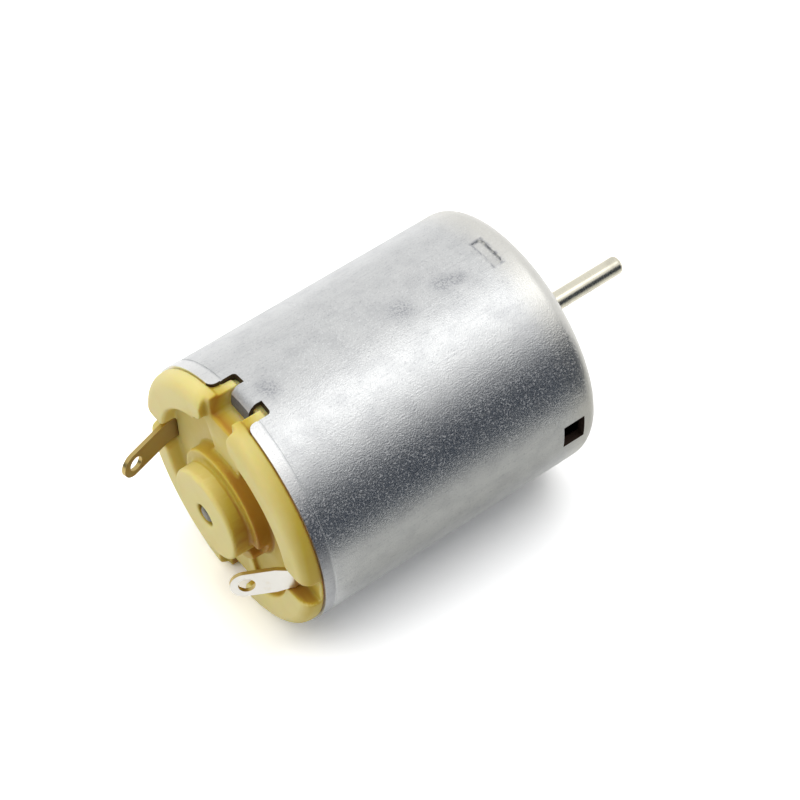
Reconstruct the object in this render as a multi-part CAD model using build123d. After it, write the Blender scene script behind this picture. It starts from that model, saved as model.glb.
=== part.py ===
from build123d import *
import os
from math import atan2, cos, degrees, hypot, radians, sin

# A round, brushed, permanent-magnet dc motor on its side, with every piece that it comes apart into.
# Millimetres. +X runs along the shaft and out of the front, +Y is to the left, and +Z is up through the
# upper crimp tongue. The origin is the centre of the front mounting face, on the shaft's axis.

# Shared clearances
cut_overrun = 1.0
seat_clearance = 0.02
running_clearance = 0.03
end_play = 0.3

# Can
can_radius = 13.85
can_length = 33.0
can_wall = 0.9
can_edge_radius = 1.75
rim_wall = 0.42
rim_depth = 1.1
rim_swell = 0.05
rim_groove_width = 0.26
rim_groove_depth = 0.06

# Nose and screw holes on the can's front face
nose_radius = 5.0
nose_height = 1.6
nose_edge_radius = 0.35
nose_lip = 0.5
nose_opening_radius = 2.2
screw_spacing = 16.0
screw_hole_radius = 1.08

# Windows in the can's sides, and tabs pressed in from its top and bottom
window_length = 2.5
window_width = 3.0
window_setback = 2.1
stop_tab_width = 3.6
stop_tab_length = 1.15
stop_tab_corner_radius = 0.5
stop_tab_depth = 0.3
stop_tab_setback = 3.8

# Crimp notches in the can's rim, each with a tongue that is bent in over the end cap
notch_depth = 2.7
notch_half_width = 2.95
notch_flare = 0.75
notch_corner_radius = 0.4
tongue_width = 2.8
tongue_thickness = 0.5
tongue_bend_radius = 0.7
tongue_bend_setback = 2.4
tongue_tip_length = 1.05
tongue_tip_corner_radius = 0.5
tongue_angle = 80

# End cap: depths go into the can from its rim, heights stand behind the rim
cap_floor_height = 0.4
cap_plate_depth = 2.0
cap_hub_depth = 2.8
cap_hub_radius = 4.2
cap_skirt_depth = 4.6
cap_skirt_wall = 1.0
wall_height = 2.0
wall_width = 3.49
wall_inset = 0.15
wall_outer_edge_radius = 1.4
wall_inner_edge_radius = 0.3
web_height = 1.0
tier_height = 2.1
tier_radius = 6.05
tier_end_radius = 0.5
upper_tier_span = 200
lower_tier_span = 110
boss_height = 4.1
boss_radius = 4.95
boss_edge_radius = 0.3
boss_hole_radius = 1.2
recess_span = 144
recess_corner_radius = 0.8
tongue_gap_half_width = 2.2
tongue_pocket_half_width = 1.8
tongue_pocket_depth = 1.78
tongue_pocket_width = 2.3
tongue_gap_flare = 1.2
channel_half_width = 1.6
channel_height = 0.3
channel_flare = 0.4

# Terminals: a tab outside, a riser through the cap, a foot on the cap's inner face and an ear for the arm
terminal_thickness = 0.45
terminal_width = 2.88
terminal_inset = 0.4
terminal_root_height = 1.3
left_tab_length = 6.4
right_tab_length = 6.0
right_terminal_drop = 0.4
tab_hole_radius = 0.82
tab_hole_setback = 1.6
tab_throat_length = 1.2
left_tab_bend = 16
right_tab_bend = 28
left_tab_twist = 0
right_tab_twist = 9.5
foot_width = 2.6

# Brushes
arm_thickness = 0.2
arm_width = 3.0
arm_tail = 0.4
ear_clear_of_brush = 4.4
ear_width = 2.6
brush_width = 2.0
brush_depth = 2.0
brush_length = 1.55
brush_gap = 0.05

# Bearings
front_bearing_radius = 3.3
front_bearing_length = 3.0
rear_bearing_radius = 2.6
rear_bearing_length = 3.6

# Magnets and the clips that spread them
magnet_thickness = 3.2
magnet_span = 132
magnet_overhang = 3.0
magnet_gap = 0.1
clip_thickness = 0.4
clip_leg_length = 2.2
clip_leg_angle = 2
clip_play_angle = 0.3
clip_length_share = 0.7

# Rotor
shaft_radius = 1.0
shaft_reach = 13.8
shaft_rear_recess = 0.05
shaft_rear_edge_radius = 0.6
shaft_front_edge_radius = 0.5
oil_groove_depth = 0.18
oil_groove_width = 0.7
air_gap = 0.42
pole_count = 3
shoe_thickness = 1.5
shoe_span = 104
tooth_width = 3.0
core_hub_radius = 2.4
insulator_thickness = 0.8
insulator_margin = 0.25
insulator_hub_margin = 0.4
coil_overhang = 2.4
coil_side = 2.1
coil_corner_radius = 1.6
coil_clearance = 0.15
washer_radius = 2.2
washer_thickness = 0.4
spacer_radius = 1.8
spacer_length = 3.8

# Commutator
commutator_radius = 2.9
segment_thickness = 0.6
segment_length = 4.8
segment_gap = 0.4
commutator_base_length = 2.9
commutator_base_radius = 2.4
commutator_end_length = 0.3
tang_thickness = 0.5
tang_reach = 4.4
tang_width = 1.6
retainer_radius = 3.4
retainer_length = 0.8

# Planes across the shaft, from the front to the rear
nose_pocket_x = nose_height - nose_lip
front_bearing_x = nose_pocket_x - front_bearing_length
oil_groove_x = nose_height - oil_groove_width
rim_x = -can_length
seat_x = rim_x + rim_depth
cap_plate_x = rim_x + cap_plate_depth
cap_hub_x = rim_x + cap_hub_depth
boss_x = rim_x - boss_height
rear_bearing_x = cap_hub_x - rear_bearing_length
front_washer_x = front_bearing_x - end_play - washer_thickness
front_spacer_x = front_washer_x - spacer_length
rear_washer_x = cap_hub_x + end_play
hub_rear_x = rear_washer_x + washer_thickness
segment_rear_x = hub_rear_x + commutator_end_length
tang_x = segment_rear_x + segment_length
hub_base_x = tang_x + tang_thickness
hub_front_x = hub_base_x + commutator_base_length
core_rear_x = hub_front_x + insulator_thickness
core_front_x = front_spacer_x - insulator_thickness
magnet_front_x = -stop_tab_setback - magnet_gap
magnet_rear_x = core_rear_x - magnet_overhang
brush_middle_x = (segment_rear_x + tang_x - retainer_length) / 2
arm_rear_x = brush_middle_x - arm_width / 2
arm_front_x = brush_middle_x + arm_width / 2

# Radii and offsets that follow from the sizes above
can_bore_radius = can_radius - can_wall
rim_bore_radius = can_radius - rim_wall
flange_radius = rim_bore_radius - seat_clearance
plug_radius = can_bore_radius - seat_clearance
wall_outer_radius = can_radius - wall_inset
wall_inner_radius = wall_outer_radius - wall_width
terminal_y = wall_inner_radius + terminal_inset
arm_y = commutator_radius + brush_gap + brush_length
ear_y = arm_y + arm_thickness + seat_clearance
ear_low_z = brush_width / 2 + ear_clear_of_brush
ear_high_z = ear_low_z + ear_width
magnet_outer_radius = can_bore_radius - seat_clearance
magnet_inner_radius = magnet_outer_radius - magnet_thickness
rotor_radius = magnet_inner_radius - air_gap
shoe_inner_radius = rotor_radius - shoe_thickness
press_radius = shaft_radius + seat_clearance
pole_step = 360 / pole_count
core_length = core_front_x - core_rear_x
segment_span = pole_step - degrees(segment_gap / commutator_radius)

# Angles in a plane across the shaft, from +Y towards +Z
left, up, down = 0, 90, 270


def cross_plane(x):
    """The plane across the shaft at x: its own x is +Y and its own y is +Z."""
    return Plane(origin=(x, 0, 0), x_dir=(0, 1, 0), z_dir=(1, 0, 0))


def along(outline, rear, front):
    """A solid that keeps one outline from x = rear to x = front."""
    return extrude(cross_plane(rear) * outline, front - rear)


def disc(radius, rear, front):
    return along(Circle(radius), rear, front)


def tube(outer, inner, rear, front):
    return along(Circle(outer) - Circle(inner), rear, front)


def panel(y_low, y_high, z_low, z_high):
    """A rectangle between two places in y and two in z."""
    middle = Pos((y_low + y_high) / 2, (z_low + z_high) / 2)
    return middle * Rectangle(y_high - y_low, z_high - z_low)


def sector(outer, inner, middle, span):
    """A stretch of a ring, centred on one angle."""
    start = middle - span / 2
    outer_arc = CenterArc((0, 0), outer, start, span)
    inner_arc = CenterArc((0, 0), inner, start, span)
    first_side = Line(outer_arc @ 0, inner_arc @ 0)
    last_side = Line(outer_arc @ 1, inner_arc @ 1)
    return make_face([outer_arc, last_side, inner_arc, first_side])


def half_turn(shape):
    """The same shape on the other side of the shaft."""
    return Rot(X=180) * shape


def turned(profile):
    """A solid of revolution about the shaft: the profile's own x is +X and its own y the radius."""
    return revolve(Plane.XZ * make_face(profile), Axis.X)


def can_shell():
    """The drawn cup: a thin rim that seats the cap, a rounded front edge and a nose for the bearing."""
    edge_start = (-can_edge_radius, can_radius)
    edge_end = (0, can_radius - can_edge_radius)
    nose_start = (nose_height - nose_edge_radius, nose_radius)
    nose_end = (nose_height, nose_radius - nose_edge_radius)
    inner_start = (-can_wall, can_radius - can_edge_radius)
    inner_end = (-can_edge_radius, can_bore_radius)
    rim_radius = can_radius + rim_swell
    groove_radius = can_radius - rim_groove_depth
    groove_x = seat_x + rim_groove_width
    outside = Polyline((rim_x, rim_bore_radius), (rim_x, rim_radius), (seat_x, rim_radius),
                       (seat_x, groove_radius), (groove_x, groove_radius), (groove_x, can_radius), edge_start)
    front_edge = TangentArc(edge_start, edge_end, tangent=(1, 0))
    front_face = Polyline(edge_end, (0, nose_radius), nose_start)
    nose_edge = TangentArc(nose_start, nose_end, tangent=(1, 0))
    pocket_radius = front_bearing_radius + seat_clearance
    pocket = Polyline(nose_end, (nose_height, nose_opening_radius), (nose_pocket_x, nose_opening_radius),
                      (nose_pocket_x, pocket_radius), (-can_wall, pocket_radius), inner_start)
    inner_edge = TangentArc(inner_start, inner_end, tangent=(0, 1))
    inside = Polyline(inner_end, (seat_x, can_bore_radius), (seat_x, rim_bore_radius),
                      (rim_x, rim_bore_radius))
    return turned([outside, front_edge, front_face, nose_edge, pocket, inner_edge, inside])


def stop_tab_outline():
    """A pressed tab, straight across at its rear and with rounded front corners."""
    strip = Pos(stop_tab_length / 2, 0) * Rectangle(stop_tab_length, stop_tab_width)
    return fillet(strip.vertices().sort_by(Axis.X)[-2:], stop_tab_corner_radius)


def stop_tab(low, high):
    plane = Plane(origin=(-stop_tab_setback, 0, low), x_dir=(1, 0, 0), z_dir=(0, 0, 1))
    return extrude(plane * stop_tab_outline(), high - low)


def crimp_notch():
    """The notch in the upper rim, with rounded inner corners and a mouth that flares."""
    long_side = notch_depth + cut_overrun
    slot = Pos(notch_depth - long_side / 2, 0) * RectangleRounded(long_side, 2 * notch_half_width,
                                                                  notch_corner_radius)
    mouth_half = notch_half_width + notch_flare
    mouth_length = notch_flare + cut_overrun
    mouth = Pos(notch_flare - mouth_length / 2, 0) * Rectangle(mouth_length, 2 * mouth_half)
    for side in (-1, 1):
        mouth -= Pos(notch_flare, side * mouth_half) * Circle(notch_flare)
    plane = Plane(origin=(rim_x, 0, 0), x_dir=(1, 0, 0), z_dir=(0, 0, 1))
    return extrude(plane * (slot + mouth), can_radius + cut_overrun)


def crimp_tongue():
    """The upper tongue: a strip of the wall that bends in behind the end cap, with a rounded tip."""
    root_x = rim_x + notch_depth + tongue_thickness
    bend_x = rim_x + tongue_bend_setback
    outer_bend = tongue_bend_radius + tongue_thickness
    centre = (bend_x, can_radius - outer_bend)
    outer_arc = CenterArc(centre, outer_bend, up, tongue_angle)
    inner_arc = CenterArc(centre, tongue_bend_radius, up, tongue_angle)
    tip = (outer_arc % 1) * tongue_tip_length
    low = (inner_arc @ 1) + tip
    outline = [outer_arc, inner_arc,
               Polyline(outer_arc @ 1, (outer_arc @ 1) + tip, low, inner_arc @ 1),
               Polyline(outer_arc @ 0, (root_x, can_radius), (root_x, can_radius - tongue_thickness),
                        inner_arc @ 0)]
    strip = extrude(Plane.XZ * make_face(outline), tongue_width / 2, both=True)
    blank = panel(-tongue_width / 2, tongue_width / 2, low.Y, can_radius)
    blank = fillet(blank.vertices().sort_by(Axis.Y)[:2], tongue_tip_corner_radius)
    return strip & along(Circle(can_radius) & blank, rim_x - cut_overrun, root_x + cut_overrun)


def can():
    shell = can_shell()
    notch = crimp_notch()
    tab_hole = stop_tab(can_radius - stop_tab_depth, can_radius + cut_overrun)
    tab = stop_tab(can_bore_radius - stop_tab_depth, can_radius - stop_tab_depth)
    tongue = crimp_tongue()
    reach = can_radius + cut_overrun
    window = panel(-reach, reach, -window_width / 2, window_width / 2)
    shell -= along(window, -window_setback - window_length, -window_setback)
    for side in (-1, 1):
        hole = Pos(side * screw_spacing / 2, 0) * Circle(screw_hole_radius)
        shell -= along(hole, -can_wall - cut_overrun, cut_overrun)
    for cut in (notch, tab_hole):
        shell = shell - cut - half_turn(cut)
    for added in (tab, tongue):
        shell = shell + added + half_turn(added)
    return shell


def cap_wall():
    """The ring wall that sits on the rim, with a well rounded outer edge and a slightly rounded inner one."""
    top_x = rim_x - wall_height
    outer_start = (top_x, wall_outer_radius - wall_outer_edge_radius)
    outer_end = (top_x + wall_outer_edge_radius, wall_outer_radius)
    inner_start = (top_x + wall_inner_edge_radius, wall_inner_radius)
    inner_end = (top_x, wall_inner_radius + wall_inner_edge_radius)
    inner_arc = TangentArc(inner_start, inner_end, tangent=(-1, 0))
    crest = Line(inner_end, outer_start)
    outer_arc = TangentArc(outer_start, outer_end, tangent=(0, 1))
    root = Polyline(outer_end, (rim_x, wall_outer_radius), (rim_x, flange_radius), (seat_x, flange_radius),
                    (seat_x, wall_inner_radius), inner_start)
    return turned([inner_arc, crest, outer_arc, root])


def cap_boss():
    boss = disc(boss_radius, boss_x, rim_x)
    rear_edge = boss.edges().filter_by(GeomType.CIRCLE).sort_by(Axis.X)[0]
    return fillet(rear_edge, boss_edge_radius)


def cap_tier(middle, span):
    """A stretch of the low step round the boss, with rounded ends."""
    step = sector(tier_radius, boss_radius - boss_edge_radius, middle, span)
    ends = step.vertices().sort_by(lambda v: hypot(v.X, v.Y))[-2:]
    return along(fillet(ends, tier_end_radius), rim_x - tier_height, rim_x)


def cap_recess():
    """The left recess between the ring wall and the step round the boss."""
    outline = sector(wall_inner_radius, tier_radius, left, recess_span)
    return fillet(outline.vertices(), recess_corner_radius)


def flared_gap(half_width, flare):
    """A gap through the upper wall whose corners flare where it leaves the wall's inner and outer face."""
    inner, outer = wall_inner_radius, wall_outer_radius
    half = half_width + flare
    gap = panel(-half_width, half_width, inner - flare, outer + cut_overrun)
    inner_mouth = panel(-half, half, inner - flare, inner + flare)
    outer_mouth = panel(-half, half, outer - flare, outer + cut_overrun)
    for mouth, corner_z in ((inner_mouth, inner + flare), (outer_mouth, outer - flare)):
        for side in (-1, 1):
            mouth -= Pos(side * half, corner_z) * Circle(flare)
        gap += mouth
    return gap


def terminal_cuts(drop):
    """The left terminal's channel through the wall and its slot through the plate, let down by a drop."""
    top_x = rim_x - boss_height - cut_overrun
    lower = Pos(0, -drop)
    gap = lower * Rot(Z=-up) * flared_gap(channel_half_width, channel_flare)
    slot_half = terminal_thickness / 2 + seat_clearance
    slot_reach = terminal_width / 2 + seat_clearance
    slot = lower * panel(terminal_y - slot_half, terminal_y + slot_half, -slot_reach, slot_reach)
    return along(gap, top_x, rim_x - channel_height) + along(slot, top_x, cap_plate_x + cut_overrun)


def notch_keys():
    """Two blocks that fill the upper notch on both sides of the tongue."""
    high_y = notch_half_width - seat_clearance
    front_x = rim_x + notch_depth - notch_corner_radius
    keys = [panel(low_y, low_y + high_y - tongue_pocket_half_width, 0, flange_radius) & Circle(flange_radius)
            for low_y in (tongue_pocket_half_width, -high_y)]
    inner = disc(plug_radius - cap_skirt_wall, seat_x - cut_overrun, front_x + cut_overrun)
    return along(keys[0] + keys[1], seat_x, front_x) - inner


def end_cap():
    top_x = rim_x - boss_height - cut_overrun
    cap = disc(flange_radius, rim_x, seat_x) + disc(plug_radius, seat_x, cap_plate_x)
    cap += tube(plug_radius, plug_radius - cap_skirt_wall, cap_plate_x, rim_x + cap_skirt_depth)
    cap += disc(cap_hub_radius, cap_plate_x, cap_hub_x)
    cap += disc(wall_inner_radius + wall_inner_edge_radius, rim_x - web_height, rim_x)
    cap += cap_wall()
    cap += notch_keys() + half_turn(notch_keys())
    cap += cap_boss()
    cap += cap_tier(up, upper_tier_span) + cap_tier(down, lower_tier_span)
    recess = along(cap_recess(), rim_x - wall_height, rim_x - cap_floor_height)
    tongue_gap = along(flared_gap(tongue_gap_half_width, tongue_gap_flare), top_x, rim_x - web_height)
    pocket_low = flange_radius - tongue_pocket_width
    pocket = panel(-tongue_pocket_half_width, tongue_pocket_half_width, pocket_low,
                   wall_outer_radius + cut_overrun)
    tongue_pocket = along(pocket, top_x, rim_x + tongue_pocket_depth)
    for cut in (recess, tongue_gap, tongue_pocket):
        cap = cap - cut - half_turn(cut)
    cap -= terminal_cuts(0)
    cap -= half_turn(terminal_cuts(-right_terminal_drop))
    cap -= disc(rear_bearing_radius + seat_clearance, rear_bearing_x, cap_hub_x + cut_overrun)
    cap -= disc(boss_hole_radius, top_x, cap_hub_x)
    return cap


def terminal(tab_length, tab_bend, tab_twist, drop):
    """The left terminal, with its tab bent in towards the shaft and twisted along its own length."""
    half_thickness = terminal_thickness / 2
    half_width = terminal_width / 2
    root_x = rim_x - terminal_root_height
    foot_x = cap_plate_x + terminal_thickness
    riser_outline = panel(terminal_y - half_thickness, terminal_y + half_thickness, -half_width, half_width)
    riser = along(Pos(0, -drop) * riser_outline, root_x, foot_x)
    knuckle_plane = Plane(origin=(root_x, terminal_y, -drop - half_width), z_dir=(0, 0, 1))
    knuckle = extrude(knuckle_plane * Circle(half_thickness), terminal_width)
    bend = radians(tab_bend)
    root = Plane(origin=(root_x, terminal_y, -drop), x_dir=(0, 0, 1), z_dir=(-cos(bend), -sin(bend), 0))
    strip = Rectangle(terminal_width, terminal_thickness)
    neck = extrude(root * strip, terminal_thickness)
    throat_start = root * Pos(0, 0, terminal_thickness)
    twisted = throat_start * Pos(0, 0, tab_throat_length) * Rot(Z=tab_twist)
    throat = loft([throat_start * strip, twisted * strip], ruled=True)
    straight = tab_length - terminal_thickness - tab_throat_length - half_width
    tab_outline = Pos(0, straight / 2) * Rectangle(terminal_width, straight)
    tab_outline += Pos(0, straight) * Circle(half_width)
    tab_outline -= Pos(0, straight + half_width - tab_hole_setback) * Circle(tab_hole_radius)
    tab = extrude(twisted * Rot(X=90) * tab_outline, half_thickness, both=True)
    return riser + knuckle + neck + (throat + tab) + terminal_foot(foot_x)


def terminal_foot(foot_x):
    """The strip on the cap's inner face, from the riser to the ear that holds the brush arm."""
    start_y = terminal_y + terminal_thickness / 2 - foot_width / 2
    end_y = ear_y + terminal_thickness / 2
    end_z = (ear_low_z + ear_high_z) / 2
    length = hypot(end_y - start_y, end_z)
    angle = degrees(atan2(end_z, end_y - start_y))
    strip = Pos((start_y + end_y) / 2, end_z / 2) * Rot(Z=angle) * SlotCenterToCenter(length, foot_width)
    ear = panel(ear_y, ear_y + terminal_thickness, ear_low_z, ear_high_z)
    return along(strip, cap_plate_x, foot_x) + along(ear, cap_plate_x, arm_front_x)


def brush_arm():
    """The left leaf, clamped to its ear and reaching past the brush."""
    leaf = panel(arm_y, arm_y + arm_thickness, -brush_width / 2 - arm_tail, ear_high_z)
    return along(leaf, arm_rear_x, arm_front_x)


def brush():
    """The left carbon brush, hollowed to the commutator's radius."""
    block = panel(0, arm_y - seat_clearance, -brush_width / 2, brush_width / 2)
    blank = along(block, brush_middle_x - brush_depth / 2, brush_middle_x + brush_depth / 2)
    return blank - disc(commutator_radius + brush_gap, arm_rear_x, arm_front_x)


def bearing(radius, rear, length):
    return tube(radius, shaft_radius + running_clearance, rear, rear + length)


def magnet():
    outline = sector(magnet_outer_radius, magnet_inner_radius, up, magnet_span)
    return along(outline, magnet_rear_x, magnet_front_x)


def magnet_clip():
    """A sprung channel in the left gap between the magnets, with a leg along each magnet's edge."""
    span = 180 - magnet_span - 2 * clip_play_angle
    outer = magnet_outer_radius
    outline = sector(outer, outer - clip_thickness, left, span)
    for side in (-1, 1):
        leg_angle = side * (span - clip_leg_angle) / 2
        outline += sector(outer, outer - clip_leg_length, leg_angle, clip_leg_angle)
    middle = (magnet_rear_x + magnet_front_x) / 2
    half = (magnet_front_x - magnet_rear_x) * clip_length_share / 2
    return along(outline, middle - half, middle + half)


def shaft():
    """A plain rod with an oil groove inside the nose, which keeps oil from creeping along it."""
    rod = disc(shaft_radius, boss_x + shaft_rear_recess, shaft_reach)
    rod = fillet(rod.edges().filter_by(GeomType.CIRCLE).sort_by(Axis.X)[-1], shaft_front_edge_radius)
    rod = fillet(rod.edges().filter_by(GeomType.CIRCLE).sort_by(Axis.X)[0], shaft_rear_edge_radius)
    groove_outer = shaft_radius + cut_overrun
    return rod - tube(groove_outer, shaft_radius - oil_groove_depth, oil_groove_x, nose_height)


def pole_angles():
    return [up + pole * pole_step for pole in range(pole_count)]


def star(hub_radius, arm_width, arm_reach):
    """A hub with one arm for each pole."""
    outline = Circle(hub_radius)
    for angle in pole_angles():
        outline += Rot(Z=angle - up) * panel(-arm_width / 2, arm_width / 2, 0, arm_reach)
    return outline


def lamination_stack():
    outline = star(core_hub_radius, tooth_width, rotor_radius - shoe_thickness / 2)
    for angle in pole_angles():
        outline += sector(rotor_radius, shoe_inner_radius, angle, shoe_span)
    return along(outline - Circle(press_radius), core_rear_x, core_front_x)


def insulator(rear):
    hub = core_hub_radius + insulator_hub_margin
    outline = star(hub, tooth_width + 2 * insulator_margin, shoe_inner_radius)
    return along(outline - Circle(press_radius), rear, rear + insulator_thickness)


def winding(angle):
    """One pole's coil: a rounded block round the tooth, kept inside the pole shoes."""
    inner_radius = core_hub_radius + insulator_hub_margin + coil_clearance
    hole_half = tooth_width / 2 + insulator_margin + coil_clearance
    hole_length = core_length + 2 * insulator_thickness + 2 * coil_clearance
    outer = RectangleRounded(hole_length + 2 * coil_overhang, 2 * (hole_half + coil_side), coil_corner_radius)
    plane = Plane(origin=((core_rear_x + core_front_x) / 2, 0, inner_radius), x_dir=(1, 0, 0),
                  z_dir=(0, 0, 1))
    coil = extrude(plane * (outer - Rectangle(hole_length, 2 * hole_half)), rotor_radius)
    limit = disc(shoe_inner_radius - coil_clearance, core_rear_x - can_length, core_front_x + can_length)
    return Rot(X=angle - up) * (coil & limit)


def commutator_hub():
    """The moulded core of the commutator, pressed on the shaft."""
    sleeve_radius = commutator_radius - segment_thickness - seat_clearance
    hub = disc(sleeve_radius, hub_rear_x, hub_base_x)
    hub += disc(commutator_base_radius, hub_base_x + seat_clearance, hub_front_x)
    hub += disc(sleeve_radius, hub_base_x, hub_base_x + seat_clearance)
    return hub - disc(press_radius, hub_rear_x - cut_overrun, hub_front_x + cut_overrun)


def commutator_segment(angle):
    """One copper segment with the tang that its coil is soldered to."""
    inner = commutator_radius - segment_thickness
    bar = along(sector(commutator_radius, inner, angle, segment_span), segment_rear_x, hub_base_x)
    tang = panel(-tang_width / 2, tang_width / 2, commutator_radius - segment_thickness / 2, tang_reach)
    return bar + along(Rot(Z=angle - up) * tang, tang_x, hub_base_x)


def commutator_ring():
    inner = commutator_radius + seat_clearance
    return tube(retainer_radius, inner, tang_x - retainer_length, tang_x - seat_clearance)


parts = {
    "can": can(),
    "end_cap": end_cap(),
    "front_bearing": bearing(front_bearing_radius, front_bearing_x, front_bearing_length),
    "rear_bearing": bearing(rear_bearing_radius, rear_bearing_x, rear_bearing_length),
    "magnet_upper": magnet(),
    "magnet_lower": half_turn(magnet()),
    "magnet_clip_left": magnet_clip(),
    "magnet_clip_right": half_turn(magnet_clip()),
    "terminal_left": terminal(left_tab_length, left_tab_bend, left_tab_twist, 0),
    "terminal_right": half_turn(terminal(right_tab_length, right_tab_bend, right_tab_twist,
                                         -right_terminal_drop)),
    "brush_arm_left": brush_arm(),
    "brush_arm_right": half_turn(brush_arm()),
    "brush_left": brush(),
    "brush_right": half_turn(brush()),
    "shaft": shaft(),
    "lamination_stack": lamination_stack(),
    "insulator_front": insulator(core_front_x),
    "insulator_rear": insulator(core_rear_x - insulator_thickness),
    "commutator_hub": commutator_hub(),
    "commutator_ring": commutator_ring(),
    "front_spacer": tube(spacer_radius, press_radius, front_spacer_x, front_washer_x),
    "front_washer": tube(washer_radius, press_radius, front_washer_x, front_washer_x + washer_thickness),
    "rear_washer": tube(washer_radius, press_radius, rear_washer_x, hub_rear_x),
}
for number, pole_angle in enumerate(pole_angles(), start=1):
    parts[f"winding_{number}"] = winding(pole_angle)
    parts[f"commutator_segment_{number}"] = commutator_segment(pole_angle)

os.makedirs("parts", exist_ok=True)
for node, shape in parts.items():
    export_step(shape, f"parts/{node}.step")
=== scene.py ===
import math

import bmesh
import bpy
from bpy.props import FloatProperty, FloatVectorProperty, IntProperty, PointerProperty
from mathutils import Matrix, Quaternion, Vector
from mathutils.bvhtree import BVHTree


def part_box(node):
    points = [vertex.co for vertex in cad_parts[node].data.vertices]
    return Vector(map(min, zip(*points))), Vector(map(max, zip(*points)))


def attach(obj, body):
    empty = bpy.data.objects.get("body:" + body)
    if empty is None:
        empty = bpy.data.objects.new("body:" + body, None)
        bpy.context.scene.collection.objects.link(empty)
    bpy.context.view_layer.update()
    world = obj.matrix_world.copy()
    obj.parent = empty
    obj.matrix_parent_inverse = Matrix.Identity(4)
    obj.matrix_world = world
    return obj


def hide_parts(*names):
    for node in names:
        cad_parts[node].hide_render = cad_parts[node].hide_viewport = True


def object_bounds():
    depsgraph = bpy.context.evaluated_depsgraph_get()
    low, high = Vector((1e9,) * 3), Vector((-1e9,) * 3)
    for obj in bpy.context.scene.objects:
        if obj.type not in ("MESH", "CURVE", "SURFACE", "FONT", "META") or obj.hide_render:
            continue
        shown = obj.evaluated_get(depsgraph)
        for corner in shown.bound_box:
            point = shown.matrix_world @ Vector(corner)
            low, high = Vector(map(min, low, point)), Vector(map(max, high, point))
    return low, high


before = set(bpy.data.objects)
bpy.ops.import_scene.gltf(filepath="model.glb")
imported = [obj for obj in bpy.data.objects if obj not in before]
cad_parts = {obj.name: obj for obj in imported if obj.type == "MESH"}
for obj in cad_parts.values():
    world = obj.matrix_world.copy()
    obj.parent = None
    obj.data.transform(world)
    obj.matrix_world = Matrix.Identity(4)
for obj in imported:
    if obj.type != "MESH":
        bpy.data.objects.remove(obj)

bl_info = {
    "name": "Round-can dc motor",
    "version": (1, 0, 0),
    "blender": (4, 5, 0),
    "location": "View3D > Sidebar > Motor",
    "description": "Dresses a small brushed dc motor: plated can, moulded cap, solder lugs and wound rotor",
    "category": "Object",
}

MM = 0.001
CAD_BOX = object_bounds()
CAN_LOW, CAN_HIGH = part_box("can")
CAP_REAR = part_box("end_cap")[0].x
CAN_RADIUS = CAN_HIGH.y
RIM_X = CAN_LOW.x
SHAFT_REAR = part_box("shaft")[0].x

# Copies of the solids' meshes
MERGE_DISTANCE = 0.001 * MM
FLAT_ANGLE = math.radians(0.2)
SHARP_ANGLE = math.radians(28)
BEVEL_SEGMENTS = 2
CAP_SMOOTHING = 0.5

# Sheared faces: where they lie, and how far their normals may lean
NOTCH_REACH = 3.5 * MM
RIM_DEPTH = 0.7 * MM
WINDOW_REACH = 5.5 * MM
WINDOW_DEPTH = 0.9 * MM
ACROSS_LEAST = 0.3
OUTWARD_MOST = 0.5
REARWARD_LEAST = 0.9
LUG_FACE_MOST = 0.7

# Plating of the can: sizes of its features
SPARKLE_SIZE = 0.13 * MM
FROST_SIZE = 0.17 * MM
PIT_SIZE = 0.19 * MM
PIT_STRETCH = (1.5, 1.0, 1.0)
LINE_SIZE = 0.12 * MM
LINE_STRETCH = (40.0, 1.0, 1.0)
PLATING_CLOUD = 2.2 * MM
SPECK_SIZE = 0.17 * MM
PLATING_RELIEF = 0.042 * MM

# Plating of the can: values of the noise at which a feature shows not at all and in full
FROST_RANGE = (0.56, 0.66)
PIT_RANGE = (0.58, 0.68)
SPECK_RANGE = (0.46, 0.6)
CLOUD_RANGE = (0.4, 0.75)
LINE_RANGE = (0.5, 0.75)
GLINT_RANGE = (0.43, 0.33)

# Plating of the can: places at which a change starts and is full
POLISHED_SPAN = (-5.0 * MM, -1.5 * MM)
RIM_SPAN = (RIM_X + 1.3 * MM, RIM_X + 1.1 * MM)
RIM_LIT_SPAN = (1 * MM, 8 * MM)
RIM_SHADE_TOP = (9 * MM, 4 * MM)
RIM_SHADE_FOOT = (-11 * MM, -7 * MM)
INSIDE_SPAN = (CAN_RADIUS - 0.75 * MM, CAN_RADIUS - 0.9 * MM)
INSIDE_END = (-0.4 * MM, -0.6 * MM)
TONGUE_SIDE = (1.9 * MM, 1.6 * MM)
TONGUE_ROOT = (RIM_X + 2.7 * MM, RIM_X + 2.3 * MM)

# Plating of the can: how strongly each feature dulls, brightens or roughens it
PLATING_ROUGHNESS = 0.24
CLOUD_DULL = 0.22
LINE_DULL = 0.18
PIT_DULL = 0.28
RIM_SHADE_DULL = 0.6
TAB_SHADE = 0.8
SMUDGE_VEIL = 0.2
SMUDGE_SPECKS = 0.75
POLISHED_CLEAN = 0.7
RIM_HIGHLIGHT_UNDULL = 0.5
RIM_GLINT = 0.8
SPARKLE_GLINT = 0.4
INSIDE_TONE = 0.5
SHEARED_MATT = 0.6
FROST_MATT = 0.38
SPARKLE_RELIEF = 0.78

# Marks of handling on the can: place along the shaft, angle from the top towards +Y, reach
SMUDGES = (
    (-14.0 * MM, math.radians(-2.7), 2.3 * MM),
    (-9.1 * MM, math.radians(-1.8), 1.9 * MM),
    (-7.4 * MM, math.radians(-3.5), 1.4 * MM),
    (-29.0 * MM, math.radians(-2.8), 1.9 * MM),
)
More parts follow.
